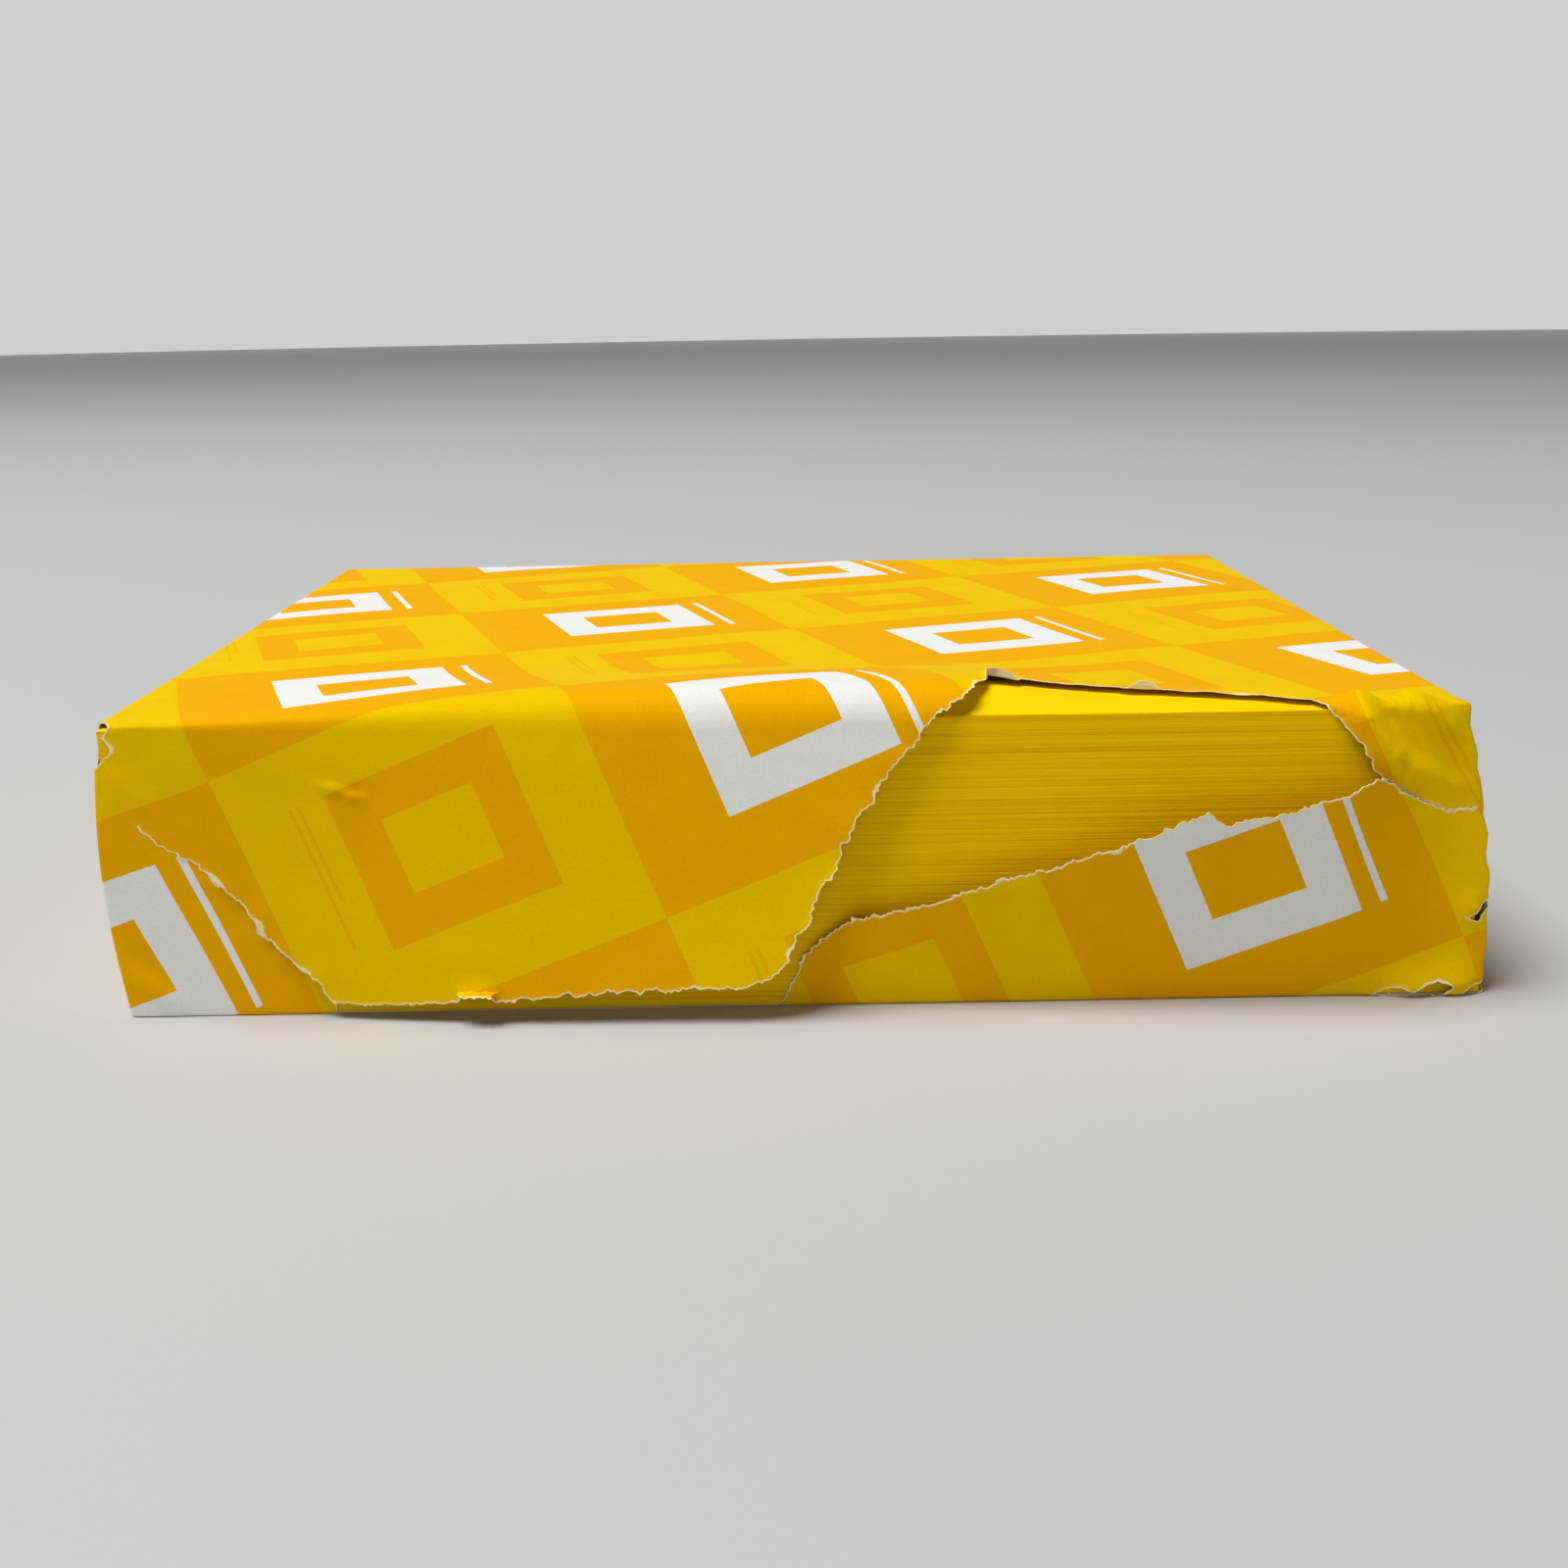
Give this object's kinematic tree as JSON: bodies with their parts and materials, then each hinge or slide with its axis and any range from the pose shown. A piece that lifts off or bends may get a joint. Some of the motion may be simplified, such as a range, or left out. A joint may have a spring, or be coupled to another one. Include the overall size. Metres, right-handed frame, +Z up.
{
  "type": "ream of paper",
  "caption": "Ream of copy paper in a printed paper wrapper, torn open along one long side so that the sheet edges show",
  "frame": {"origin": "middle of the ream's box, on the surface it lies on", "axes": "+X along the sheets' long side, +Y away from the torn side, +Z up"},
  "size_m": [0.2852, 0.2214, 0.0672],
  "materials": {
    "sheets": "uncoated yellow copy paper, cut edges",
    "wrapper_paper": "machine-glazed wrapping paper, printed in two yellows, semi-matt"
  },
  "bodies": {
    "root": {"paper_stack": "sheets", "wrapper": "wrapper_paper"}
  },
  "joints": []
}
